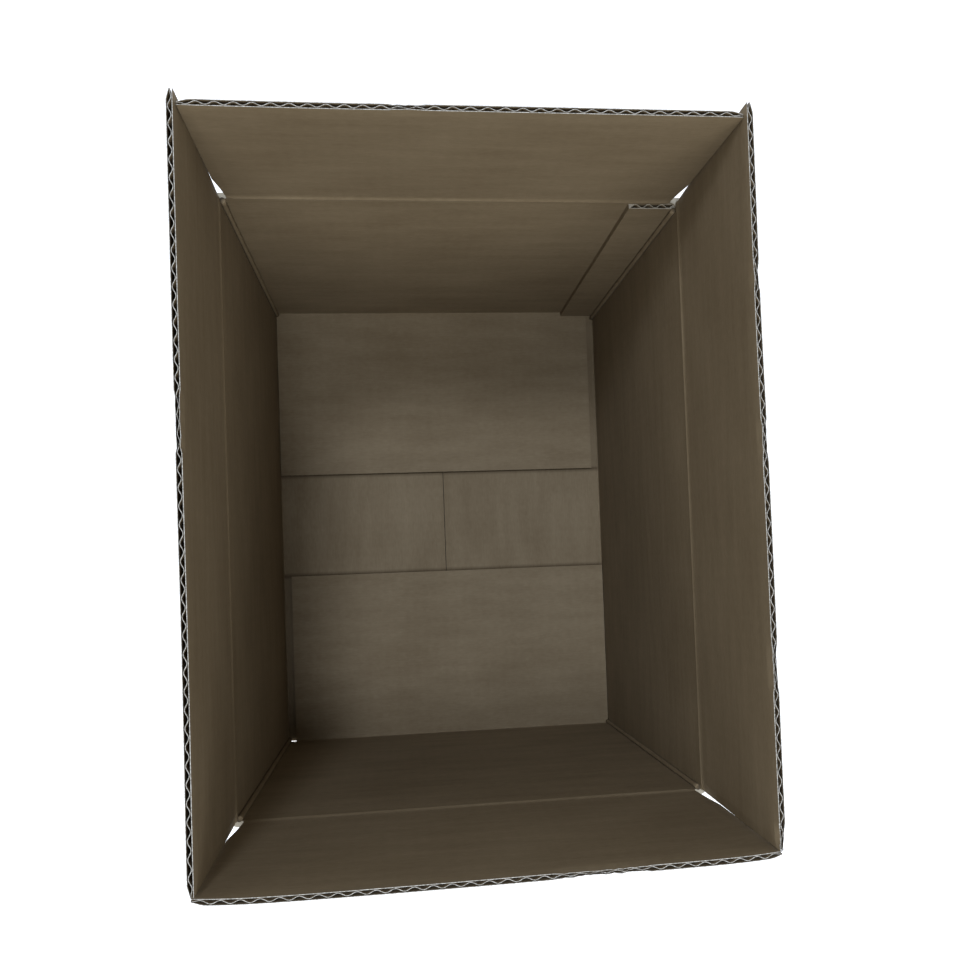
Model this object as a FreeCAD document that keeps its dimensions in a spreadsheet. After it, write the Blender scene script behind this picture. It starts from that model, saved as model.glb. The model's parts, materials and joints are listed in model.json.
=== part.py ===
import FreeCAD, Part
import math
import os
import Sketcher

# An open shipping box of single wall corrugated board, on its base with its four top flaps up.
# +Z is up, +Y goes to the back, and X runs across the box. The long walls are left and right.
# The origin is the middle of the base, on the underside of the tape that closes the bottom.

SIZES = {
    # the inside of the box
    "insideWidth": 215.0,
    "insideLength": 284.0,
    "insideDepth": 228.0,
    # the board: two liners and a wave of medium between them
    "board": 2.6,
    "liner": 0.35,
    "medium": 0.3,
    "mediumSlant": 0.45,
    "flutePitch": 6.5,
    "fluteCrest": 1.2,
    "fluteMargin": 0.8,
    "crushedFoot": 9.0,
    "cutFluteDepth": 14.0,
    # the flaps, cut apart by slots and bent at the score lines
    "flapLength": 109.6,
    "sideFlapInset": 0.35,
    "sideWallInset": 0.1,
    "endFlapInset": 2.9,
    "bottomReach": 108.4,
    "bottomShift": 2.3,
    "seamGap": 0.4,
    "layerGap": 0.2,
    "hingeGap": 0.3,
    "hingeProud": 0.1,
    "slotRun": 1.2,
    "outerBend": 2.6,
    "innerBend": 2.2,
    "footBend": 0.8,
    # the glued tab inside the back wall
    "tabWidth": 23.0,
    "tabClear": 0.5,
    "tabDrop": 1.0,
    "lapNotch": 2.0,
    # how far each top flap leans into the box, in degrees
    "leanSide": 1.25,
    "leanBack": 0.0,
    "leanFront": -1.6,
    # the tape along the seam of the bottom
    "tapeWidth": 48.0,
    "tapeThick": 0.1,
    "tapeTail": 62.0,
    "tapeBend": 3.0,
}

doc = FreeCAD.newDocument("openBox")
sheet = doc.addObject("Spreadsheet::Sheet", "sizes")
for row, (alias, value) in enumerate(SIZES.items(), start=1):
    sheet.set(f"A{row}", alias)
    sheet.set(f"B{row}", str(value))
    sheet.setAlias(f"B{row}", alias)
doc.recompute()

# Lengths that follow from the driving sizes.
FLAP_BASE = "sizes.tapeThick"
END_BASE = f"({FLAP_BASE} + sizes.board + sizes.layerGap)"
FLOOR = f"({END_BASE} + sizes.board)"
END_SCORE = f"({FLOOR} + sizes.insideDepth)"
SIDE_SCORE = f"({END_SCORE} + sizes.board + sizes.layerGap)"
RING_LOW = f"({FLOOR} + sizes.slotRun)"
RING_TOP = f"({END_SCORE} - sizes.hingeGap - sizes.board)"
INNER_X = "(sizes.insideWidth / 2)"
INNER_Y = "(sizes.insideLength / 2)"
OUTER_X = f"({INNER_X} + sizes.board)"
OUTER_Y = f"({INNER_Y} + sizes.board)"
SIDE_FLAP_WIDTH = "(sizes.insideLength - 2 * sizes.sideFlapInset)"
SIDE_WALL_WIDTH = "(sizes.insideLength - 2 * sizes.sideWallInset)"
END_FLAP_WIDTH = "(sizes.insideWidth - 2 * sizes.endFlapInset)"

# One flute is a wide mouth on one liner, tapering to the crest that the medium makes on the other.
CORE = "(sizes.board - 2 * sizes.liner)"
TAPER = f"(sizes.medium / ({CORE} - sizes.medium))"
FLUTE_MOUTH = (f"((sizes.flutePitch - 2 * sizes.mediumSlant - sizes.fluteCrest * (1 + {TAPER}))"
               f" / (1 - {TAPER}))")

# Each inner bottom flap: its name, its side of the box, and which way it is pushed.
BOTTOM_FLAPS = (("back", "", "-sizes.bottomShift"), ("front", "-", "sizes.bottomShift"))
START_RADIUS = 100


def originPlane(body, role):
    """The body's own plane or axis of that role."""
    return [item for item in body.Origin.OriginFeatures if item.Role == role][0]


def newSketch(body, name, role, height="0"):
    """A sketch on one of the body's planes, moved along that plane's normal."""
    sketch = body.newObject("Sketcher::SketchObject", name)
    sketch.AttachmentSupport = [(originPlane(body, role), "")]
    sketch.MapMode = "FlatFace"
    sketch.setExpression("AttachmentOffset.Base.z", f"({height}) * 1 mm")
    return sketch


def addOutline(sketch, corners):
    """Add a closed outline whose corners are pairs of expressions."""
    count = len(corners)
    first = len(sketch.Geometry)
    # the corners start on a wide circle, and then the constraints take them to their places
    turns = [2 * math.pi * k / count for k in range(count)]
    ring = [FreeCAD.Vector(math.cos(turn), math.sin(turn), 0) * START_RADIUS for turn in turns]
    for k in range(count):
        sketch.addGeometry(Part.LineSegment(ring[k], ring[(k + 1) % count]))
    for k in range(count):
        sketch.addConstraint(Sketcher.Constraint("Coincident", first + k, 2, first + (k + 1) % count, 1))
    for k, corner in enumerate(corners):
        for kind, value in zip(("DistanceX", "DistanceY"), corner):
            spot = getattr(ring[k], "x" if kind == "DistanceX" else "y")
            index = sketch.addConstraint(Sketcher.Constraint(kind, first + k, 1, spot))
            sketch.setExpression(f"Constraints[{index}]", f"({value}) * 1 mm")


def pad(body, sketch, length, symmetric=True):
    """Extrude the sketch to both sides of its plane, or along its normal."""
    feature = body.newObject("PartDesign::Pad", sketch.Name + "Pad")
    feature.Profile = sketch
    feature.SideType = "Symmetric" if symmetric else "One side"
    feature.setExpression("Length", f"({length}) * 1 mm")
    doc.recompute()
    return feature


def pocket(body, sketch, depth, backwards=False):
    """Cut the sketch into the solid, and make sure that it cuts."""
    before = body.Shape.Volume
    feature = body.newObject("PartDesign::Pocket", sketch.Name + "Cut")
    feature.Profile = sketch
    feature.Reversed = backwards
    feature.setExpression("Length", f"({depth}) * 1 mm")
    doc.recompute()
    if not feature.Shape.Volume < before - 1e-3:
        raise RuntimeError(f"{feature.Name} cuts nothing")
    return feature


def bend(body, name, radius, chosen):
    """Round the edges for which chosen(middle point, direction) holds."""
    base = body.Tip
    names = []
    for index, edge in enumerate(base.Shape.Edges, start=1):
        if edge.Curve.TypeId != "Part::GeomLine" or edge.Length < number("board"):
            continue
        middle = edge.valueAt((edge.FirstParameter + edge.LastParameter) / 2)
        if chosen(middle, edge.tangentAt(edge.FirstParameter)):
            names.append(f"Edge{index}")
    feature = body.newObject("PartDesign::Fillet", name)
    feature.Base = (base, names)
    feature.setExpression("Radius", f"({radius}) * 1 mm")
    doc.recompute()
    if feature.Shape.isNull() or not feature.Shape.isValid():
        raise RuntimeError(f"{name} failed")
    return feature


def number(alias):
    """A driving size as a number."""
    return float(sheet.get(alias))


def near(value, target, within=0.01):
    """Whether two lengths are the same, to a hundredth of a millimetre unless it says otherwise."""
    return abs(value - target) < within


def cutFlutes(body, name, across, width, middle, faces, sign, depth, role, height, axis, backwards=False):
    """Cut a row of flutes into an edge of the board, open at the cut and closed further in.

    across says which sketch axis the row runs along, and middle is the row's middle on it.
    faces are the places of the board's two faces, and sign is 1 where the second is the higher.
    """
    near_face, far_face = faces
    half_mouth = f"{FLUTE_MOUTH} / 2"
    half_crest = "sizes.fluteCrest / 2"
    count = (f"(floor(({width} - 2 * sizes.fluteMargin - {FLUTE_MOUTH} - sizes.flutePitch / 2)"
             " / sizes.flutePitch) + 1)")
    start = f"({middle} - (({count} - 1) * sizes.flutePitch + sizes.flutePitch / 2) / 2)"
    near_liner = f"{near_face} + {sign} * sizes.liner"
    near_crest = f"{near_face} + {sign} * (sizes.liner + sizes.medium)"
    far_liner = f"{far_face} - {sign} * sizes.liner"
    far_crest = f"{far_face} - {sign} * (sizes.liner + sizes.medium)"
    sketch = newSketch(body, name, role, height)
    for offset, wide, narrow in (("0", near_liner, far_crest), ("sizes.flutePitch / 2", far_liner, near_crest)):
        centre = f"{start} + {offset}"
        corners = [(f"{centre} - {half_mouth}", wide), (f"{centre} + {half_mouth}", wide),
                   (f"{centre} + {half_crest}", narrow), (f"{centre} - {half_crest}", narrow)]
        if across == "y":
            corners = [(v, u) for u, v in corners]
        addOutline(sketch, corners)
    doc.recompute()
    cut = pocket(body, sketch, depth, backwards)
    rows = body.newObject("PartDesign::LinearPattern", name + "Row")
    rows.Originals = [cut]
    rows.Direction = (originPlane(body, axis), [""])
    rows.setExpression("Length", f"(({count} - 1) * sizes.flutePitch) * 1 mm")
    rows.setExpression("Occurrences", count)
    body.Tip = rows
    doc.recompute()
    if not rows.Shape.Volume < cut.Shape.Volume:
        raise RuntimeError(f"{rows.Name} repeats nothing")


def makeBoxBody():
    """The folded sheet: four walls, four bottom flaps and the glued tab."""
    body = doc.addObject("PartDesign::Body", "box_body")

    # the four walls, bent at their vertical score lines
    walls = newSketch(body, "walls", "XY_Plane", RING_LOW)
    for x, y in ((OUTER_X, OUTER_Y), (INNER_X, INNER_Y)):
        addOutline(walls, [(f"-{x}", f"-{y}"), (x, f"-{y}"), (x, y), (f"-{x}", y)])
    pad(body, walls, f"{RING_TOP} - {RING_LOW}", symmetric=False)
    outer_x = number("insideWidth") / 2 + number("board")
    outer_y = number("insideLength") / 2 + number("board")
    inner_x = number("insideWidth") / 2
    inner_y = number("insideLength") / 2

    def isOuterFold(spot, way):
        at_corner = near(abs(spot.x), outer_x) and near(abs(spot.y), outer_y)
        lapped = spot.x > 0 and spot.y > 0
        return at_corner and near(abs(way.z), 1) and not lapped

    def isInnerFold(spot, way):
        at_corner = near(abs(spot.x), inner_x) and near(abs(spot.y), inner_y)
        return at_corner and near(abs(way.z), 1)

    bend(body, "outerFolds", "sizes.outerBend", isOuterFold)
    bend(body, "innerFolds", "sizes.innerBend", isInnerFold)

    # the long walls run up to their own score and on down into the outer bottom flaps
    sides = newSketch(body, "sidePanels", "XZ_Plane")
    for sign in ("", "-"):
        addOutline(sides, [
            (f"{sign}{OUTER_X}", FLAP_BASE),
            (f"{sign}{OUTER_X}", f"{SIDE_SCORE} - sizes.hingeGap"),
            (f"{sign}{INNER_X}", f"{SIDE_SCORE} - sizes.hingeGap - sizes.board"),
            (f"{sign}{INNER_X}", f"{FLAP_BASE} + sizes.board"),
            (f"{sign}sizes.seamGap / 2", f"{FLAP_BASE} + sizes.board"),
            (f"{sign}sizes.seamGap / 2", FLAP_BASE)])
    pad(body, sides, SIDE_WALL_WIDTH)

    # the short walls end in the mitre that their top flaps fold against
    ends = newSketch(body, "endTops", "YZ_Plane")
    for sign in ("", "-"):
        addOutline(ends, [
            (f"{sign}{OUTER_Y}", RING_TOP),
            (f"{sign}{OUTER_Y}", f"{END_SCORE} - sizes.hingeGap"),
            (f"{sign}{INNER_Y}", RING_TOP)])
    pad(body, ends, END_FLAP_WIDTH)

    # the inner bottom flaps, each pushed a little to one side
    for name, sign, shift in BOTTOM_FLAPS:
        bottom = newSketch(body, name + "Bottom", "YZ_Plane", shift)
        addOutline(bottom, [
            (f"{sign}{OUTER_Y}", END_BASE),
            (f"{sign}{OUTER_Y}", f"{RING_LOW} + sizes.board"),
            (f"{sign}{INNER_Y}", f"{RING_LOW} + sizes.board"),
            (f"{sign}{INNER_Y}", FLOOR),
            (f"{sign}({INNER_Y} - sizes.bottomReach)", FLOOR),
            (f"{sign}({INNER_Y} - sizes.bottomReach)", END_BASE)])
        pad(body, bottom, END_FLAP_WIDTH)
    flap_base = number("tapeThick")
    end_base = flap_base + number("board") + number("layerGap")

    flap_top = flap_base + number("board")
    end_top = end_base + number("board")

    def isOuterFoot(spot, way):
        at_side = near(abs(spot.x), outer_x) and near(spot.z, flap_base) and near(abs(way.y), 1)
        at_end = near(abs(spot.y), outer_y) and near(spot.z, end_base) and near(abs(way.x), 1)
        return at_side or at_end

    def isInnerFoot(spot, way):
        at_side = near(abs(spot.x), inner_x) and near(spot.z, flap_top) and near(abs(way.y), 1)
        at_end = near(abs(spot.y), inner_y) and near(spot.z, end_top) and near(abs(way.x), 1)
        return at_side or at_end

    bend(body, "outerFeet", "sizes.outerBend", isOuterFoot)
    bend(body, "innerFeet", "sizes.footBend", isInnerFoot)

    # the tab, which turns in from the right wall behind the end of the back wall
    tab = newSketch(body, "tab", "XY_Plane", f"{FLOOR} + sizes.tabClear")
    addOutline(tab, [
        (f"{INNER_X} - sizes.tabWidth", f"{INNER_Y} - sizes.board"),
        (INNER_X, f"{INNER_Y} - sizes.board"),
        (INNER_X, INNER_Y),
        (f"{INNER_X} - sizes.tabWidth", INNER_Y)])
    pad(body, tab, f"{RING_TOP} - sizes.tabDrop - {FLOOR} - sizes.tabClear", symmetric=False)

    tab_face = inner_y - number("board")

    def isTabFold(spot, way):
        return near(spot.x, inner_x) and near(spot.y, tab_face) and near(abs(way.z), 1)

    bend(body, "tabFold", "sizes.innerBend", isTabFold)
    notch = newSketch(body, "lapNotch", "XY_Plane", RING_LOW)
    addOutline(notch, [
        (f"{OUTER_X} - sizes.lapNotch", INNER_Y),
        (OUTER_X, f"{INNER_Y} - sizes.lapNotch"),
        (f"{OUTER_X} + sizes.lapNotch", INNER_Y)])
    pocket(body, notch, f"{RING_TOP} - {RING_LOW}", backwards=True)

    # the cut ends of the flutes on the tab and on the free edges of the inner bottom flaps
    cutFlutes(body, "tabFlutes", "x", "sizes.tabWidth", f"{INNER_X} - sizes.tabWidth / 2",
              (f"({INNER_Y} - sizes.board)", INNER_Y), "1", "sizes.cutFluteDepth",
              "XY_Plane", f"{RING_TOP} - sizes.tabDrop", "X_Axis")
    for name, sign, shift in BOTTOM_FLAPS:
        plane_height = f"-({sign}({INNER_Y} - sizes.bottomReach))"
        cutFlutes(body, name + "Flutes", "x", END_FLAP_WIDTH, shift, (END_BASE, FLOOR), "1",
                  "sizes.cutFluteDepth", "XZ_Plane", plane_height, "X_Axis", backwards=sign == "-")
    return body


def makeTopFlap(label, axis, sign, lean):
    """A top flap, modelled about its score line and then set on its wall.

    axis is the direction that the score line runs in, and sign is + at the right or the back.
    """
    body = doc.addObject("PartDesign::Body", label)
    side = axis == "y"
    width = SIDE_FLAP_WIDTH if side else END_FLAP_WIDTH
    outer = f"(-{sign}1 * sizes.hingeProud)"
    inner = f"(-{sign}1 * (sizes.hingeProud + sizes.board))"
    section = newSketch(body, label + "Section", "XZ_Plane" if side else "YZ_Plane")
    addOutline(section, [
        (outer, "sizes.hingeGap"),
        (outer, "sizes.flapLength"),
        (inner, "sizes.flapLength"),
        (inner, "sizes.hingeGap + sizes.board")])
    pad(body, section, width)
    cutFlutes(body, label + "Flutes", "y" if side else "x", width, "0", (inner, outer), f"({sign}1)",
              "sizes.flapLength - sizes.crushedFoot", "XY_Plane", "sizes.flapLength",
              "Y_Axis" if side else "X_Axis")
    turn = {"x": FreeCAD.Vector(1, 0, 0), "y": FreeCAD.Vector(0, 1, 0)}[axis]
    if (axis, sign) in (("y", "+"), ("x", "-")):
        turn = -turn
    body.Placement = FreeCAD.Placement(FreeCAD.Vector(0, 0, 0), FreeCAD.Rotation(turn, 1))
    body.setExpression("Placement.Rotation.Angle", f"{lean} * 1 deg")
    wall = OUTER_X if side else OUTER_Y
    outwards = "x" if side else "y"
    body.setExpression(f"Placement.Base.{outwards}", f"({sign}1 * ({wall} + sizes.hingeProud)) * 1 mm")
    body.setExpression("Placement.Base.z", f"({SIDE_SCORE if side else END_SCORE}) * 1 mm")
    return body


def makeBottomTape():
    """One strip of tape under the seam, with a tail up each short wall."""
    body = doc.addObject("PartDesign::Body", "bottom_tape")
    strip = newSketch(body, "strip", "YZ_Plane")
    outside = f"({OUTER_Y} + sizes.tapeThick)"
    addOutline(strip, [
        (f"-{outside}", "0"), (outside, "0"), (outside, "sizes.tapeTail"), (OUTER_Y, "sizes.tapeTail"),
        (OUTER_Y, "sizes.tapeThick"), (f"-{OUTER_Y}", "sizes.tapeThick"),
        (f"-{OUTER_Y}", "sizes.tapeTail"), (f"-{outside}", "sizes.tapeTail")])
    pad(body, strip, "sizes.tapeWidth")
    edge_y = number("insideLength") / 2 + number("board")
    thick = number("tapeThick")

    hair = thick / 4

    def isInnerCorner(spot, way):
        return near(abs(spot.y), edge_y) and near(spot.z, thick, hair) and near(abs(way.x), 1)

    def isOuterCorner(spot, way):
        return near(abs(spot.y), edge_y + thick, hair) and near(spot.z, 0, hair) and near(abs(way.x), 1)

    bend(body, "innerTapeBends", "sizes.tapeBend", isInnerCorner)
    bend(body, "outerTapeBends", "sizes.tapeBend + sizes.tapeThick", isOuterCorner)
    return body


bodies = [
    makeBoxBody(),
    makeTopFlap("flap_right", "y", "+", "sizes.leanSide"),
    makeTopFlap("flap_left", "y", "-", "sizes.leanSide"),
    makeTopFlap("flap_back", "x", "+", "sizes.leanBack"),
    makeTopFlap("flap_front", "x", "-", "sizes.leanFront"),
    makeBottomTape(),
]
doc.recompute()

for item in doc.Objects:
    if "Invalid" in item.State or "Error" in item.State:
        raise RuntimeError(f"{item.Name} failed")
for body in bodies:
    if body.Shape.isNull() or not body.Shape.isValid() or len(body.Shape.Solids) != 1:
        raise RuntimeError(f"{body.Label} is not one valid solid")

os.makedirs("parts", exist_ok=True)
for body in bodies:
    body.Shape.exportStep(f"parts/{body.Label}.step")
    box = body.Shape.BoundBox
    print(f"{body.Label}: {body.Shape.Volume:.0f} mm3, x {box.XMin:.2f}..{box.XMax:.2f},"
          f" y {box.YMin:.2f}..{box.YMax:.2f}, z {box.ZMin:.2f}..{box.ZMax:.2f}")
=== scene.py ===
import bpy
import json
import math
from mathutils import Matrix, Vector, noise


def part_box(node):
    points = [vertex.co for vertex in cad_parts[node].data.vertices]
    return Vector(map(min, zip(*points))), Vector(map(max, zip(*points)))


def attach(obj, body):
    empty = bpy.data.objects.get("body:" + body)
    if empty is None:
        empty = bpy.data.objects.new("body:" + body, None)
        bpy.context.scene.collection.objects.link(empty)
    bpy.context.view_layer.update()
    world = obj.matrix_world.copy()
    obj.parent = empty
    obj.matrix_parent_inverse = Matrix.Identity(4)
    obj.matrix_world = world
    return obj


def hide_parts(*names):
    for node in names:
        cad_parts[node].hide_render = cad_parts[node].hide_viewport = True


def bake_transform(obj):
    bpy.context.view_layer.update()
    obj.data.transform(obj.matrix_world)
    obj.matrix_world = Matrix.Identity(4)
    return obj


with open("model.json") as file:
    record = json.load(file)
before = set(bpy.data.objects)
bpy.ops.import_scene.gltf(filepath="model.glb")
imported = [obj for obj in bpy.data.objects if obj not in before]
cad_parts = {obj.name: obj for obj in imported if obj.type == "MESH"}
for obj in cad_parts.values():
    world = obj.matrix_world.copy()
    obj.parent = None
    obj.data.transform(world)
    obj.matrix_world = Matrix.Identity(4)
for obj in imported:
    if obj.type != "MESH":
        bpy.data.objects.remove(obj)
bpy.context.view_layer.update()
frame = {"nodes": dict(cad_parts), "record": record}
joints = {joint["name"]: joint for joint in frame["record"]["behaviour"]["joints"]}

mm = 0.001
board = {"thick": 2.6 * mm, "liner": 0.35 * mm, "medium": 0.28 * mm, "pitch": 6.5 * mm}
hair = 0.05 * mm                # how near a row or column has to be to count as found


# Helpers for working in edit mode

def startClean():
    if bpy.context.object and bpy.context.object.mode != "OBJECT":
        bpy.ops.object.mode_set(mode="OBJECT")
    bpy.ops.object.select_all(action="DESELECT")


def pickVerts(piece, test):
    # select the vertices whose place passes the test, and leave the piece in edit mode
    bpy.ops.object.mode_set(mode="EDIT")
    bpy.ops.mesh.select_mode(type="VERT")
    bpy.ops.mesh.select_all(action="DESELECT")
    bpy.ops.object.mode_set(mode="OBJECT")
    found = 0
    for vert in piece.data.vertices:
        vert.select = test(vert.co)
        found += vert.select
    bpy.ops.object.mode_set(mode="EDIT")
    return found


def applyModifier(piece, kind, name, **values):
    startClean()
    bpy.context.view_layer.objects.active = piece
    piece.select_set(True)
    modifier = piece.modifiers.new(name, kind)
    for key, value in values.items():
        setattr(modifier, key, value)
    bpy.ops.object.modifier_apply(modifier=name)


def uprightSheet(name, face, width, foot, top, columns, centre=0.0):
    # a sheet that stands across the local X axis at x = face, with its columns along Y
    startClean()
    bpy.ops.mesh.primitive_grid_add(x_subdivisions=1, y_subdivisions=columns, size=1,
                                    rotation=(0, math.radians(90), 0))
    sheet = bpy.context.object
    sheet.name = name
    bpy.ops.object.transform_apply(location=False, rotation=True, scale=False)
    bpy.ops.object.mode_set(mode="EDIT")
    bpy.ops.mesh.select_all(action="SELECT")
    bpy.ops.transform.resize(value=(1, width, top - foot))
    bpy.ops.transform.translate(value=(face, centre, (top + foot) / 2))
    bpy.ops.object.mode_set(mode="OBJECT")
    return sheet


def cutRows(sheet, heights):
    bpy.context.view_layer.objects.active = sheet
    bpy.ops.object.mode_set(mode="EDIT")
    for height in heights:
        bpy.ops.mesh.select_all(action="SELECT")
        bpy.ops.mesh.bisect(plane_co=(0, 0, height), plane_no=(0, 0, 1))
    bpy.ops.object.mode_set(mode="OBJECT")


# Materials

def addNode(tree, kind, x, y, **values):
    node = tree.nodes.new(kind)
    node.location = (x, y)
    for key, value in values.items():
        if hasattr(node, key):
            setattr(node, key, value)
        else:
            node.inputs[key.replace("_", " ")].default_value = value
    return node


def mathNode(tree, operation, x, y, first, second=None):
    # a Math node whose inputs are sockets or numbers
    node = addNode(tree, "ShaderNodeMath", x, y, operation=operation)
    for socket, value in zip(node.inputs, (first, second)):
        if value is None:
            continue
        if isinstance(value, (int, float)):
            socket.default_value = value
        else:
            tree.links.new(value, socket)
    return node.outputs[0]


def newGroup(name, inputs, outputs):
    group = bpy.data.node_groups.new(name, "ShaderNodeTree")
    for label, kind, value in inputs:
        socket = group.interface.new_socket(name=label, in_out="INPUT", socket_type=kind)
        if value is not None:
            socket.default_value = value
    for label, kind in outputs:
        group.interface.new_socket(name=label, in_out="OUTPUT", socket_type=kind)
    return group, group.nodes.new("NodeGroupInput"), group.nodes.new("NodeGroupOutput")


def makeFibreGroup():
    # fibres and streaks that lie across the flutes, over broad pale and dark clouds
    group, given, result = newGroup("kraftFibres", [
        ("Place", "NodeSocketVector", None), ("Fibre Size", "NodeSocketFloat", 1100.0),
        ("Cloud Size", "NodeSocketFloat", 18.0)],
        [("Tone", "NodeSocketFloat"), ("Height", "NodeSocketFloat")])
    stretch = addNode(group, "ShaderNodeMapping", -600, 200)
    stretch.inputs["Scale"].default_value = (0.16, 1.0, 1.0)
    fibres = addNode(group, "ShaderNodeTexNoise", -400, 200, Detail=5.0, Roughness=0.65)
    clouds = addNode(group, "ShaderNodeTexNoise", -400, -100, Detail=3.0, Roughness=0.55)
    specks = addNode(group, "ShaderNodeTexNoise", -400, -400, Scale=420.0, Detail=2.0)
    streaks = addNode(group, "ShaderNodeTexNoise", -400, -650, Scale=130.0, Detail=3.0)
    link = group.links.new
    link(given.outputs["Place"], stretch.inputs["Vector"])
    link(stretch.outputs[0], fibres.inputs["Vector"])
    link(given.outputs["Fibre Size"], fibres.inputs["Scale"])
    link(given.outputs["Place"], clouds.inputs["Vector"])
    link(given.outputs["Cloud Size"], clouds.inputs["Scale"])
    link(given.outputs["Place"], specks.inputs["Vector"])
    link(stretch.outputs[0], streaks.inputs["Vector"])
    fine = mathNode(group, "MULTIPLY", -150, 200, fibres.outputs["Fac"], 0.3)
    broad = mathNode(group, "MULTIPLY", -150, 0, clouds.outputs["Fac"], 0.3)
    dots = mathNode(group, "MULTIPLY", -150, -200, specks.outputs["Fac"], 0.12)
    long = mathNode(group, "MULTIPLY", -150, -400, streaks.outputs["Fac"], 0.28)
    tone = mathNode(group, "ADD", 50, 100, mathNode(group, "ADD", 0, 100, fine, broad),
                    mathNode(group, "ADD", 0, -200, dots, long))
    link(tone, result.inputs["Tone"])
    link(fibres.outputs["Fac"], result.inputs["Height"])
    return group


def makeFluteGroup():
    # the faint washboard that the wave of medium prints through the liner
    group, given, result = newGroup("washboard", [
        ("Across", "NodeSocketFloat", 0.0), ("Pitch", "NodeSocketFloat", board["pitch"])],
        [("Ridge", "NodeSocketFloat")])
    turns = mathNode(group, "DIVIDE", -400, 0, given.outputs["Across"], given.outputs["Pitch"])
    angle = mathNode(group, "MULTIPLY", -250, 0, turns, 2 * math.pi)
    wave = mathNode(group, "SINE", -100, 0, angle)
    half = mathNode(group, "MULTIPLY_ADD", 50, 0, wave, 0.5)
    half.node.inputs[2].default_value = 0.5
    group.links.new(half, result.inputs["Ridge"])
    return group


def makeWrinkleGroup():
    # short creases that cross a score line where the board has been worked to and fro
    group, given, result = newGroup("scoreWrinkles", [
        ("Along Score", "NodeSocketFloat", 0.0), ("Off Score", "NodeSocketFloat", 0.0),
        ("Reach", "NodeSocketFloat", 0.026)], [("Height", "NodeSocketFloat")])
    link = group.links.new
    place = addNode(group, "ShaderNodeCombineXYZ", -600, 0)
    link(given.outputs["Along Score"], place.inputs[0])
    link(mathNode(group, "MULTIPLY", -800, -100, given.outputs["Off Score"], 0.3), place.inputs[1])
    dashes = addNode(group, "ShaderNodeTexNoise", -400, 0, Scale=420.0, Detail=2.0, Distortion=0.6)
    patches = addNode(group, "ShaderNodeTexNoise", -400, -300, Scale=26.0, Detail=1.0)
    link(place.outputs[0], dashes.inputs["Vector"])
    link(place.outputs[0], patches.inputs["Vector"])
    away = mathNode(group, "DIVIDE", -500, 250, mathNode(
        group, "ABSOLUTE", -650, 250, given.outputs["Off Score"]), given.outputs["Reach"])
    near = mathNode(group, "SUBTRACT", -300, 250, 1.0, away)
    near.node.use_clamp = True
    worked = mathNode(group, "MULTIPLY", -100, 100, near, patches.outputs["Fac"])
    link(mathNode(group, "MULTIPLY", 50, 0, worked, dashes.outputs["Fac"]), result.inputs["Height"])
    return group


fibreGroup = makeFibreGroup()
fluteGroup = makeFluteGroup()
wrinkleGroup = makeWrinkleGroup()

kraft = {
    "dark": (0.168, 0.123, 0.068, 1), "darkAt": 0.38,
    "pale": (0.252, 0.195, 0.117, 1), "paleAt": 0.72,
    "rough": 0.82, "specular": 0.25, "fibreBump": 0.22, "fluteBump": 0.03, "fluteTone": 0.012,
    # the crease width and tone on the next line paint a pale highlight along each flap's score line
    "creaseHighlightHalf": 1.2 * mm, "creaseHighlightTone": 0.03, "wrinkleBump": 0.35, "wrinkleReach": 26 * mm,
    "sideScore": 236.3 * mm,
    "facing": 0.7,              # how squarely a face has to look along an axis
    "lowFaces": 5 * mm,         # level faces below here belong to the long bottom flaps
    # the next two lines place and colour the painted shade on the lower bottom flaps
    "lowLayer": 4 * mm, "floorLip": 33.6 * mm, "lipShade": 2.6 * mm, "flapEnds": 102 * mm,
    "endShade": 0.35, "paintedShadeTone": (0.42, 0.38, 0.33, 1),
    "cutAbove": 60 * mm, "cutTone": (0.30, 0.27, 0.21, 1),
    # the colour of the painted shade in the crevices beside the corner beads
    "paintedCreviceShade": (0.035, 0.025, 0.014, 1),
}


def floorShade(tree, split, level):
    # painted shade on the lower bottom flaps, close under the lips of the two that lie on them, and
    # fainter where they show past those two flaps' ends
    low = mathNode(tree, "MULTIPLY", -1000, 700, level, mathNode(
        tree, "LESS_THAN", -1150, 700, split.outputs["Z"], kraft["lowLayer"]))
    off = mathNode(tree, "SUBTRACT", -1000, 850, mathNode(
        tree, "ABSOLUTE", -1150, 850, split.outputs["Y"]), kraft["floorLip"])
    away = mathNode(tree, "DIVIDE", -850, 850, mathNode(
        tree, "ABSOLUTE", -900, 850, off), kraft["lipShade"])
    near = mathNode(tree, "SUBTRACT", -700, 850, 1.0, away)
    near.node.use_clamp = True
    ends = mathNode(tree, "GREATER_THAN", -850, 1000, mathNode(
        tree, "ABSOLUTE", -1000, 1000, split.outputs["X"]), kraft["flapEnds"])
    beyond = mathNode(tree, "GREATER_THAN", -850, 1150, off, 0.0)
    faint = mathNode(tree, "MULTIPLY", -780, 1100, beyond, kraft["endShade"])
    beside = mathNode(tree, "MULTIPLY", -700, 1000, ends, faint)
    paintedShade = mathNode(tree, "MAXIMUM", -550, 900, near, beside)
    return mathNode(tree, "MULTIPLY", -400, 800, paintedShade, low)


def findFacing(tree, coords):
    # which faces of the body look sideways, and which are level
    facing = addNode(tree, "ShaderNodeSeparateXYZ", -1200, -400)
    tree.links.new(coords.outputs["Normal"], facing.inputs[0])
    sideways = mathNode(tree, "GREATER_THAN", -1000, -300, mathNode(
        tree, "ABSOLUTE", -1100, -300, facing.outputs["X"]), kraft["facing"])
    level = mathNode(tree, "GREATER_THAN", -1000, -500, mathNode(
        tree, "ABSOLUTE", -1100, -500, facing.outputs["Z"]), kraft["facing"])
    return sideways, level


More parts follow.
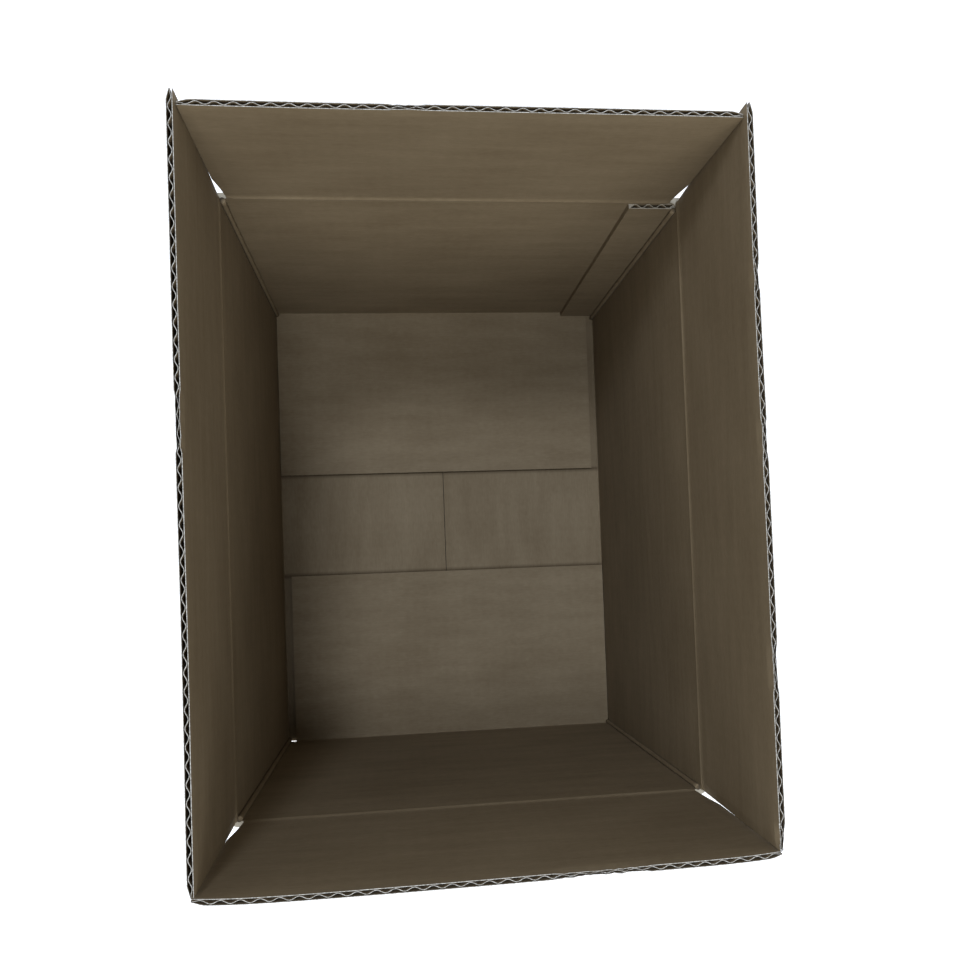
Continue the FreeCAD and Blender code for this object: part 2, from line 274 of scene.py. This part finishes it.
def mapBody(tree, split, sideways, level):
    # the flutes cross each face of the body its own way, so X and Y change places on some
    link = tree.links.new
    lowest = mathNode(tree, "LESS_THAN", -1000, -650, split.outputs["Z"], kraft["lowFaces"])
    alongY = mathNode(tree, "MAXIMUM", -850, -400, sideways, mathNode(
        tree, "MULTIPLY", -900, -500, level, lowest))
    across = addNode(tree, "ShaderNodeMix", -700, -300, data_type="FLOAT")
    other = addNode(tree, "ShaderNodeMix", -700, -600, data_type="FLOAT")
    for pick, first, second in ((across, "X", "Y"), (other, "Y", "X")):
        link(alongY, pick.inputs[0])
        link(split.outputs[first], pick.inputs[2])
        link(split.outputs[second], pick.inputs[3])
    place = addNode(tree, "ShaderNodeCombineXYZ", -850, 100)
    link(across.outputs[0], place.inputs[0])
    link(other.outputs[0], place.inputs[1])
    link(split.outputs["Z"], place.inputs[2])
    return across.outputs[0], place.outputs[0]


def paintBody(tree, split, level, colour):
    # pale cut edges round the top, and painted shade on the floor
    link = tree.links.new
    rim = mathNode(tree, "MULTIPLY", -850, 300, level, mathNode(
        tree, "GREATER_THAN", -1000, 300, split.outputs["Z"], kraft["cutAbove"]))
    edged = addNode(tree, "ShaderNodeMix", 250, 200, data_type="RGBA")
    link(rim, edged.inputs[0])
    link(colour, edged.inputs[6])
    edged.inputs[7].default_value = kraft["cutTone"]
    # the floor's painted shade is multiplied into the colour here
    shaded = addNode(tree, "ShaderNodeMix", 400, 200, data_type="RGBA", blend_type="MULTIPLY")
    link(floorShade(tree, split, level), shaded.inputs[0])
    link(edged.outputs[2], shaded.inputs[6])
    shaded.inputs[7].default_value = kraft["paintedShadeTone"]
    return shaded.outputs[2]


def addBump(tree, x, height, strength, depth, under=None):
    # one layer of relief, over the one that is given
    bump = addNode(tree, "ShaderNodeBump", x, -250, Strength=strength, Distance=depth)
    tree.links.new(height, bump.inputs["Height"])
    if under:
        tree.links.new(under, bump.inputs["Normal"])
    return bump.outputs[0]


def makeKraft(name, onBody):
    # a flap or a bead has a map of its own that says where its flutes and its score are
    material = bpy.data.materials.new(name)
    material.use_nodes = True
    tree = material.node_tree
    link = tree.links.new
    shader = tree.nodes["Principled BSDF"]
    shader.inputs["Roughness"].default_value = kraft["rough"]
    shader.inputs["Specular IOR Level"].default_value = kraft["specular"]
    coords = addNode(tree, "ShaderNodeTexCoord", -1400, 0)
    source = coords.outputs["Object" if onBody else "UV"]
    split = addNode(tree, "ShaderNodeSeparateXYZ", -1200, -200)
    link(source, split.inputs[0])
    if onBody:
        sideways, level = findFacing(tree, coords)
        across, place = mapBody(tree, split, sideways, level)
        offScore = mathNode(tree, "SUBTRACT", -850, 450, split.outputs["Z"], kraft["sideScore"])
    else:
        across, offScore, place = split.outputs["X"], split.outputs["Y"], source
    fibres = addNode(tree, "ShaderNodeGroup", -700, 100, node_tree=fibreGroup)
    link(place, fibres.inputs["Place"])
    flutes = addNode(tree, "ShaderNodeGroup", -500, -200, node_tree=fluteGroup)
    link(across, flutes.inputs["Across"])
    shade = mathNode(tree, "MULTIPLY", -300, -100, flutes.outputs["Ridge"], kraft["fluteTone"])
    tone = mathNode(tree, "ADD", -200, 50, fibres.outputs["Tone"], shade)
    if not onBody:
        # a pale band along the score line, a painted highlight where the pressed-out bead would catch
        # the light
        crease = mathNode(tree, "COMPARE", -850, 300, offScore, 0.0)
        crease.node.inputs[2].default_value = kraft["creaseHighlightHalf"]
        tone = mathNode(tree, "ADD", -120, 50, tone, mathNode(
            tree, "MULTIPLY", -300, 300, crease, kraft["creaseHighlightTone"]))
    ramp = addNode(tree, "ShaderNodeValToRGB", -50, 100)
    for stop, label in zip(ramp.color_ramp.elements, ("dark", "pale")):
        stop.position = kraft[label + "At"]
        stop.color = kraft[label]
    link(tone, ramp.inputs[0])
    colour = paintBody(tree, split, level, ramp.outputs[0]) if onBody else ramp.outputs[0]
    link(colour, shader.inputs["Base Color"])
    wrinkles = addNode(tree, "ShaderNodeGroup", 150, -450, node_tree=wrinkleGroup)
    wrinkles.inputs["Reach"].default_value = kraft["wrinkleReach"]
    link(across, wrinkles.inputs["Along Score"])
    link(offScore, wrinkles.inputs["Off Score"])
    fine = addBump(tree, -50, fibres.outputs["Height"], kraft["fibreBump"], 0.1 * mm)
    ridges = addBump(tree, 150, flutes.outputs["Ridge"], kraft["fluteBump"], 0.35 * mm, fine)
    worked = addBump(tree, 350, wrinkles.outputs["Height"], kraft["wrinkleBump"], 1.2 * mm, ridges)
    link(worked, shader.inputs["Normal"])
    return material


knifeCut = {"rough": 0.9, "fibres": 1400.0, "bump": 0.5, "dark": (0.20, 0.185, 0.155, 1), "darkAt": 0.35,
            "pale": (0.50, 0.48, 0.43, 1), "paleAt": 0.65}


def makeCutEdge():
    # torn pale fibres, where a knife went through the board
    material = bpy.data.materials.new("cutEdge")
    material.use_nodes = True
    tree = material.node_tree
    shader = tree.nodes["Principled BSDF"]
    shader.inputs["Roughness"].default_value = knifeCut["rough"]
    coords = addNode(tree, "ShaderNodeTexCoord", -900, 0)
    tufts = addNode(tree, "ShaderNodeTexNoise", -650, 0, Scale=knifeCut["fibres"], Detail=4.0)
    ramp = addNode(tree, "ShaderNodeValToRGB", -400, 0)
    for stop, label in zip(ramp.color_ramp.elements, ("dark", "pale")):
        stop.position = knifeCut[label + "At"]
        stop.color = knifeCut[label]
    tree.links.new(coords.outputs["Object"], tufts.inputs["Vector"])
    tree.links.new(tufts.outputs["Fac"], ramp.inputs[0])
    tree.links.new(ramp.outputs[0], shader.inputs["Base Color"])
    relief = addBump(tree, -250, tufts.outputs["Fac"], knifeCut["bump"], 0.1 * mm)
    tree.links.new(relief, shader.inputs["Normal"])
    return material


# the sticky face's colour below is painted near-black, as shade in the seam between the bottom flaps
film = {"dark": (0.165, 0.108, 0.050, 1), "pale": (0.235, 0.160, 0.080, 1),
        "gumPaintedShade": (0.030, 0.023, 0.014, 1), "coat": 0.15, "coatRough": 0.2, "rough": 0.15,
        "scuffRough": 0.3, "gumRough": 0.9, "scuffs": 900.0, "bump": 0.15}


def makeTapeFilm():
    # brown packing film, with fine scuffs along its length and a dull sticky upper face whose colour is
    # painted near-black as shade where it shows up through the seam between the bottom flaps
    material = bpy.data.materials.new("packingFilm")
    material.use_nodes = True
    tree = material.node_tree
    shader = tree.nodes["Principled BSDF"]
    shader.inputs["Coat Roughness"].default_value = film["coatRough"]
    coords = addNode(tree, "ShaderNodeTexCoord", -1100, 0)
    facing = addNode(tree, "ShaderNodeSeparateXYZ", -900, 400)
    tree.links.new(coords.outputs["Normal"], facing.inputs[0])
    stickyShadedFace = mathNode(tree, "GREATER_THAN", -700, 400, facing.outputs["Z"], 0.5)
    coat = mathNode(tree, "MULTIPLY_ADD", -500, 400, stickyShadedFace, -film["coat"])
    coat.node.inputs[2].default_value = film["coat"]
    tree.links.new(coat, shader.inputs["Coat Weight"])
    stretch = addNode(tree, "ShaderNodeMapping", -900, 0)
    stretch.inputs["Scale"].default_value = (1.0, 0.06, 0.06)
    scuffs = addNode(tree, "ShaderNodeTexNoise", -700, 0, Scale=film["scuffs"], Detail=3.0)
    ramp = addNode(tree, "ShaderNodeValToRGB", -400, 100)
    ramp.color_ramp.elements[0].color = film["dark"]
    ramp.color_ramp.elements[1].color = film["pale"]
    rough = mathNode(tree, "MULTIPLY_ADD", -400, -150, scuffs.outputs["Fac"], film["scuffRough"])
    rough.node.inputs[2].default_value = film["rough"]
    tree.links.new(coords.outputs["Object"], stretch.inputs["Vector"])
    tree.links.new(stretch.outputs[0], scuffs.inputs["Vector"])
    tree.links.new(scuffs.outputs["Fac"], ramp.inputs[0])
    # painted shade: the upward sticky face takes the near-black colour
    gumPaintedShade = addNode(tree, "ShaderNodeMix", -200, 250, data_type="RGBA")
    tree.links.new(stickyShadedFace, gumPaintedShade.inputs[0])
    tree.links.new(ramp.outputs[0], gumPaintedShade.inputs[6])
    gumPaintedShade.inputs[7].default_value = film["gumPaintedShade"]
    tree.links.new(gumPaintedShade.outputs[2], shader.inputs["Base Color"])
    tree.links.new(mathNode(tree, "MAXIMUM", -200, -150, rough, mathNode(
        tree, "MULTIPLY", -350, -50, stickyShadedFace, film["gumRough"])), shader.inputs["Roughness"])
    relief = addBump(tree, -250, scuffs.outputs["Fac"], film["bump"], 0.1 * mm)
    tree.links.new(relief, shader.inputs["Normal"])
    return material


def makeFoldKraft():
    # the board's own finish on a bead, with painted shade in the two crevices beside it
    material = makeKraft("foldKraft", False)
    tree = material.node_tree
    shader = tree.nodes["Principled BSDF"]
    plain = shader.inputs["Base Color"].links[0].from_socket
    unshadedShare = addNode(tree, "ShaderNodeAttribute", -300, 500, attribute_name="unshadedShare")
    shaded = addNode(tree, "ShaderNodeMix", 400, 300, data_type="RGBA")
    tree.links.new(unshadedShare.outputs["Fac"], shaded.inputs[0])
    shaded.inputs[6].default_value = kraft["paintedCreviceShade"]
    tree.links.new(plain, shaded.inputs[7])
    tree.links.new(shaded.outputs[2], shader.inputs["Base Color"])
    return material


bodyKraft = makeKraft("bodyKraft", True)
foldKraft = makeFoldKraft()
flapKraft = makeKraft("flapKraft", False)
cutEdge = makeCutEdge()
packingFilm = makeTapeFilm()
print("materials made")


# The folded sheet and the tape keep their own solids

def dress(node, material):
    piece = frame["nodes"][node]
    piece.data.materials.clear()
    piece.data.materials.append(material)


dress("box_body", bodyKraft)
dress("bottom_tape", packingFilm)


def mapToBoard(piece):
    # the map's first number runs across the flutes and its second along them, in metres
    layers = piece.data.uv_layers
    layer = layers[0] if layers else layers.new(name="boardMap")
    for loop in piece.data.loops:
        place = piece.data.vertices[loop.vertex_index].co
        layer.data[loop.index].uv = (place.y, place.z)


# The board is crushed to a bead down each upright fold, inside the corner

cornerFold = {"radius": 1.3 * mm, "seat": 0.95 * mm, "top": 230.8 * mm, "sides": 20, "rows": 46,
              "wobble": 0.28 * mm, "wobbleAlong": 45, "wobbleApart": 90,
              # the two numbers below set how the painted crevice shade beside the bead follows its
              # facing
              "unshadedGain": 1.25, "unshadedLoss": 0.1,
              "lowFoot": 2.8 * mm, "highFoot": 5.6 * mm}


def makeCornerFold(name, sideFace, endFace, foot):
    # sideFace and endFace are the X and the Y of the two faces that meet in the corner
    startClean()
    height = cornerFold["top"] - foot
    inwards = Vector((-math.copysign(1, sideFace), -math.copysign(1, endFace), 0))
    centre = Vector((sideFace, endFace, foot + height / 2)) + inwards * cornerFold["seat"]
    bpy.ops.mesh.primitive_cylinder_add(vertices=cornerFold["sides"], radius=cornerFold["radius"],
                                        depth=height)
    bead = bpy.context.object
    bead.name = name
    rows = cornerFold["rows"]
    cutRows(bead, [height * (row / rows - 0.5) for row in range(1, rows)])
    apart = centre * cornerFold["wobbleApart"]
    # painted shade: how far each point faces out of the corner, so the crevices beside the walls are
    # darkened
    unshadedShare = bead.data.attributes.new("unshadedShare", "FLOAT", "POINT")
    for index, vert in enumerate(bead.data.vertices):
        outwards = Vector((vert.co.x, vert.co.y, 0)).normalized()
        facing = outwards.dot(inwards.normalized())
        unshadedRaw = cornerFold["unshadedGain"] * facing - cornerFold["unshadedLoss"]
        unshadedShare.data[index].value = min(1.0, max(0.0, unshadedRaw))
        swell = noise.noise(Vector((vert.co.z * cornerFold["wobbleAlong"], apart.x, apart.y)))
        vert.co += outwards * swell * cornerFold["wobble"]
        vert.co += centre
    for face in bead.data.polygons:
        face.use_smooth = abs(face.normal.z) < 0.5
    bead.data.materials.append(foldKraft)
    mapToBoard(bead)
    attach(bead, "box")


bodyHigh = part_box("box_body")[1]
sideInner = bodyHigh[0] - board["thick"]
endInner = bodyHigh[1] - board["thick"]
tabInner = endInner - board["thick"]
makeCornerFold("foldBackLeft", -sideInner, endInner, cornerFold["highFoot"])
makeCornerFold("foldFrontLeft", -sideInner, -endInner, cornerFold["lowFoot"])
makeCornerFold("foldFrontRight", sideInner, -endInner, cornerFold["highFoot"])
makeCornerFold("foldBackRight", sideInner, tabInner, cornerFold["lowFoot"])
print("corner folds made")


# Each top flap is two liners on a wave of medium, creased where it meets its wall

flap = {
    "reach": 109.6 * mm,        # from the score line to the free edge
    "proud": 0.1 * mm,          # from the wall's face to the line that the flap turns about
    "hem": 4.6 * mm,            # how far the liners run down over the wall
    "bendHalf": 4.0 * mm,
    "columns": 140,
    "waveSteps": 10,
    "waveFoot": 1.6 * mm,
    "waveShort": 0.12 * mm,     # how far the wave stops short of the liners' free edge
    "outerLift": 0.03 * mm,     # from the wall's face out to the outer liner
    # rows across the sheet, in mm: the creases' and the panel's from the score line, and the edge's
    # from the free edge; a crease row also says how far it is pressed out
    "innerCrease": ((-3.2, 0.0), (-2.0, -0.2), (-0.9, 0.2), (0.0, 0.5), (0.9, 0.2), (2.0, -0.15),
                    (3.2, 0.0)),
    "outerCrease": ((-1.6, 0.0), (0.0, -0.18), (1.6, 0.0)),
    "panelRows": (-3.8, 5, 10, 15, 20, 25, 30, 50, 70, 90),
    "edgeRows": (-0.5, -1.4, -2.8, -5.0, -9.0),
    "bow": 0.7 * mm,            # how far the free edge wanders out of line
    "bowWaves": 9, "bowRise": 1.3,
    "crushDepth": 4.5 * mm, "crushSoft": 2 * mm, "crushRagged": 700,
    "frayDepth": 2.6 * mm, "tornDepth": 1.2 * mm,
    "edgeThin": 0.28,           # the share of the board's thickness that the knife squashed out
    "thinDepth": 9 * mm,
    "endPinch": 0.5,            # how far the slotter closed the board's upright ends
    "pinchDepth": 4 * mm,
    "slotHeight": 30 * mm,      # the slots beside the end flaps close up to here
    "sideClear": 0.4 * mm,
    "spreadCurve": 1.4, "bendCurve": 1.1, "curlCurve": 8,
}

# How far each flap's ends spread beyond its slots, whether it stands between the side flaps, how far
# its free edge bends in, and how much further its two upper corners curl in
flapStance = {
    "flapRight": {"spread": 0.0, "between": False, "bendIn": 0.0, "endCurl": 0.0},
    "flapLeft": {"spread": 0.0, "between": False, "bendIn": 0.0, "endCurl": 0.0},
    "flapBack": {"spread": 2.6 * mm, "between": True, "bendIn": 5.5 * mm, "endCurl": 0.0},
    "flapFront": {"spread": 2.5 * mm, "between": False, "bendIn": 1.2 * mm, "endCurl": 1.5 * mm},
}

# Where the free edges are crushed and frayed: from, to, how hard, and which liner is torn
flapWear = {
    "flapRight": ((70 * mm, 80 * mm, 0.55, "outer"), (5 * mm, 20 * mm, 0.5, "outer"),
                  (-83 * mm, -64 * mm, 0.6, "outer"), (-141.7 * mm, -132 * mm, 0.8, "both")),
    "flapLeft": ((-34 * mm, -12 * mm, 0.6, "outer"),),
    "flapFront": ((20 * mm, 55 * mm, 0.5, "outer"),),
    "flapBack": ((17 * mm, 30 * mm, 0.45, "outer"),),
}


def makeLiner(name, face, inward, width, crease):
    # one liner, with its thickness towards the medium
    sheet = uprightSheet(name, face, width, -flap["hem"], flap["reach"], flap["columns"])
    heights = [height * mm for height, depth in crease]
    heights += [flap["reach"] + drop * mm for drop in flap["edgeRows"]]
    heights += [row * mm for row in flap["panelRows"]]
    cutRows(sheet, heights)
    for height, depth in crease:
        if depth and pickVerts(sheet, lambda place: abs(place.z - height * mm) < hair):
            bpy.ops.transform.translate(value=(depth * mm, 0, 0))
    bpy.ops.object.mode_set(mode="OBJECT")
    sheet.data.materials.append(flapKraft)
    sheet.data.materials.append(cutEdge)
    applyModifier(sheet, "SOLIDIFY", "thickness", thickness=board["liner"], offset=inward,
                  material_offset_rim=1)
    return sheet


def makeMedium(name, width):
    # one flute is modelled, then repeated along the flap
    middle = -flap["proud"] - board["thick"] / 2
    swing = (board["thick"] - 2 * board["liner"] - board["medium"]) / 2
    count = round(width / board["pitch"])
    pitch = width / count
    first = (pitch - width) / 2
    sheet = uprightSheet(name, middle, pitch, flap["waveFoot"], flap["reach"] - flap["waveShort"],
                         flap["waveSteps"], first)
    cutRows(sheet, [flap["reach"] + drop * mm for drop in flap["edgeRows"][1:]])
    low = first - pitch / 2
    for step in range(flap["waveSteps"] + 1):
        spot = low + step * pitch / flap["waveSteps"]
        push = swing * math.cos(2 * math.pi * step / flap["waveSteps"])
        pickVerts(sheet, lambda place: abs(place.y - spot) < hair)
        bpy.ops.transform.translate(value=(push, 0, 0))
    bpy.ops.object.mode_set(mode="OBJECT")
    sheet.data.materials.append(flapKraft)
    sheet.data.materials.append(cutEdge)
    applyModifier(sheet, "ARRAY", "flutes", count=count, use_relative_offset=False,
                  use_constant_offset=True, constant_offset_displace=(0, pitch, 0),
                  use_merge_vertices=True, merge_threshold=0.02 * mm)
    applyModifier(sheet, "SOLIDIFY", "thickness", thickness=board["medium"], offset=0,
                  material_offset_rim=1)
    return sheet


def shapeFlap(piece, name, width):
    # spread the panel's ends beyond the slots, bend it in, and squash the board along its cut edges
    middle = -flap["proud"] - board["thick"] / 2
    inner = -flap["proud"] - board["thick"] + board["liner"]
    sideJoint = joints["right_fold"]
    sideLean = math.radians(90 - sideJoint["range_deg"][1])
    stance = flapStance[name]
    for vert in piece.data.vertices:
        place = vert.co
        up = max(place.z, 0)
        grown = min(1.0, up / flap["slotHeight"])
        half = width / 2 + stance["spread"] * grown ** flap["spreadCurve"]
        if stance["between"]:
            half = min(half, sideInner - up * math.sin(sideLean) - flap["sideClear"])
        place.y *= half / (width / 2)
        near = max(0.0, 1 - (flap["reach"] - place.z) / flap["thinDepth"])
        place.x += (middle - place.x) * flap["edgeThin"] * near * near
        shut = max(0.0, 1 - (half - abs(place.y)) / flap["pinchDepth"])
        place.x += (inner - place.x) * flap["endPinch"] * shut
        curl = stance["endCurl"] * (abs(place.y) / half) ** flap["curlCurve"]
        place.x -= (stance["bendIn"] + curl) * (up / flap["reach"]) ** flap["bendCurve"]


def wearFlap(piece, name):
    # bow the panel a little, and crush and fray the worn stretches of its free edge
    middle = -flap["proud"] - board["thick"] / 2
    for vert in piece.data.vertices:
        place = vert.co
        rise = max(place.z, 0) / flap["reach"]
        drift = Vector((place.y * flap["bowWaves"], rise * flap["bowRise"], len(name)))
        wander = noise.noise(drift) * flap["bow"]
        outside = place.x > middle
        near = max(0.0, 1 - (flap["reach"] - place.z) / flap["crushDepth"])
        for start, stop, force, torn in flapWear[name]:
            if near <= 0 or not start < place.y < stop:
                continue
            soft = min(1.0, min(place.y - start, stop - place.y) / flap["crushSoft"])
            grain = Vector((place.y * flap["crushRagged"], outside * 3.0, force))
            ragged = 0.5 + 0.5 * noise.noise(grain)
            place.x += (middle - place.x) * force * soft * near * ragged
            if torn == "both" or (torn == "outer") == outside:
                place.z -= near * soft * force * ragged * flap["frayDepth"]
        place.x += wander * rise * rise
    tornSlot = 1
    for face in piece.data.polygons:
        spot = face.center
        for start, stop, force, torn in flapWear[name]:
            hidden = (torn == "outer") != (spot.x > middle) and torn != "both"
            atEdge = spot.z > flap["reach"] - flap["tornDepth"]
            if start < spot.y < stop and atEdge and not hidden:
                face.material_index = tornSlot


def makeTopFlap(name, node, jointName, width, turn):
    joint = joints[jointName]
    lean = math.radians(90 - joint["range_deg"][1])
    inner = makeLiner(name, -flap["proud"] - board["thick"], -1, width, flap["innerCrease"])
    outer = makeLiner(name + "Outer", -flap["proud"] + flap["outerLift"], 1, width, flap["outerCrease"])
    medium = makeMedium(name + "Medium", width)
    startClean()
    for part in (outer, medium, inner):
        part.select_set(True)
    bpy.context.view_layer.objects.active = inner
    bpy.ops.object.join()
    mapToBoard(inner)
    wearFlap(inner, name)
    shapeFlap(inner, name, width)
    hinge = Vector(joint["pos_m"])
    place = Matrix.Translation(hinge) @ Matrix.Rotation(math.radians(turn), 4, "Z")
    place = place @ Matrix.Rotation(-lean, 4, "Y")
    inner.matrix_world = place
    startClean()
    inner.select_set(True)
    bpy.context.view_layer.objects.active = inner
    bpy.ops.object.transform_apply(location=True, rotation=True, scale=True)
    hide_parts(node)
    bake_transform(inner)
    print("flap", name, "made")


sideLow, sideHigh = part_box("flap_right")
endLow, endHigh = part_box("flap_back")
sideWidth = sideHigh[1] - sideLow[1]
endWidth = endHigh[0] - endLow[0]
makeTopFlap("flapRight", "flap_right", "right_fold", sideWidth, 0)
makeTopFlap("flapBack", "flap_back", "back_fold", endWidth, 90)
makeTopFlap("flapLeft", "flap_left", "left_fold", sideWidth, 180)
makeTopFlap("flapFront", "flap_front", "front_fold", endWidth, -90)


# Floor, light and camera

studio = {
    "floorHalf": 6.0, "floorColour": (0.92, 0.92, 0.92, 1), "floorGlow": 0.35, "ambient": 0.2,
    "cameraPlace": (-0.0318, -0.0312, 0.7330), "cameraTurn": (2.221, -8.217, -2.218),
    "lens": 40.15, "sensor": 36, "shiftX": -0.0767, "shiftY": 0.0494, "nearClip": 0.01,
    "lampAim": (0, 0, 0.15),
}


def seenRays(tree):
    # 1 where the floor or the world is seen, straight or in a mirror, and 0 where it only lights
    rays = addNode(tree, "ShaderNodeLightPath", -600, 0)
    return mathNode(tree, "MAXIMUM", -400, 0, rays.outputs["Is Camera Ray"],
                    rays.outputs["Is Glossy Ray"])


def makeFloor():
    startClean()
    bpy.ops.mesh.primitive_plane_add(size=2 * studio["floorHalf"], location=(0, 0, 0))
    floor = bpy.context.object
    floor.name = "floor"
    material = bpy.data.materials.new("paleFloor")
    material.use_nodes = True
    tree = material.node_tree
    shader = tree.nodes["Principled BSDF"]
    shader.inputs["Base Color"].default_value = studio["floorColour"]
    shader.inputs["Roughness"].default_value = 0.95
    shader.inputs["Emission Color"].default_value = (1, 1, 1, 1)
    glow = mathNode(tree, "MULTIPLY", -200, 0, seenRays(tree), studio["floorGlow"])
    tree.links.new(glow, shader.inputs["Emission Strength"])
    floor.data.materials.append(material)


def makeWorld():
    world = bpy.data.worlds.new("studioWorld")
    bpy.context.scene.world = world
    world.use_nodes = True
    tree = world.node_tree
    background = tree.nodes["Background"]
    background.inputs["Color"].default_value = (1, 1, 1, 1)
    extra = mathNode(tree, "MULTIPLY_ADD", -200, 0, seenRays(tree), 1 - studio["ambient"])
    extra.node.inputs[2].default_value = studio["ambient"]
    tree.links.new(extra, background.inputs["Strength"])


def addLamp(name, place, size, power, tint):
    startClean()
    bpy.ops.object.light_add(type="AREA", location=place)
    lamp = bpy.context.object
    lamp.name = name
    lamp.data.size = size
    lamp.data.energy = power
    lamp.data.color = tint
    lamp.rotation_mode = "QUATERNION"
    aim = Vector(studio["lampAim"]) - Vector(place)
    lamp.rotation_quaternion = aim.to_track_quat("-Z", "Y")


def addCamera():
    startClean()
    bpy.ops.object.camera_add(location=studio["cameraPlace"],
                              rotation=[math.radians(angle) for angle in studio["cameraTurn"]])
    camera = bpy.context.object
    camera.name = "camera"
    camera.data.lens = studio["lens"]
    camera.data.sensor_width = studio["sensor"]
    camera.data.shift_x = studio["shiftX"]
    camera.data.shift_y = studio["shiftY"]
    camera.data.clip_start = studio["nearClip"]
    bpy.context.scene.camera = camera


# Each lamp's place, width, power and tint: two close overhead, and three soft ones around
lamps = {
    "ceilingBack": ((-0.31, 0.51, 2.4), 0.3, 22.0, (0.90, 1.0, 1.2)),
    "ceilingFront": ((-0.10, -0.33, 2.4), 0.3, 12.0, (0.90, 1.0, 1.2)),
    "softFront": ((0.1, -1.5, 1.7), 1.2, 32.0, (0.97, 1.0, 1.05)),
    "softLeft": ((-1.5, 0.1, 1.7), 1.2, 9.0, (0.97, 1.0, 1.05)),
    "softRight": ((1.5, 0.1, 1.7), 1.2, 7.0, (0.97, 1.0, 1.05)),
}

makeFloor()
makeWorld()
for lampName, (lampPlace, lampSize, lampPower, lampTint) in lamps.items():
    addLamp(lampName, lampPlace, lampSize, lampPower, lampTint)
addCamera()
bpy.context.scene.view_settings.view_transform = "Standard"
print("studio made")
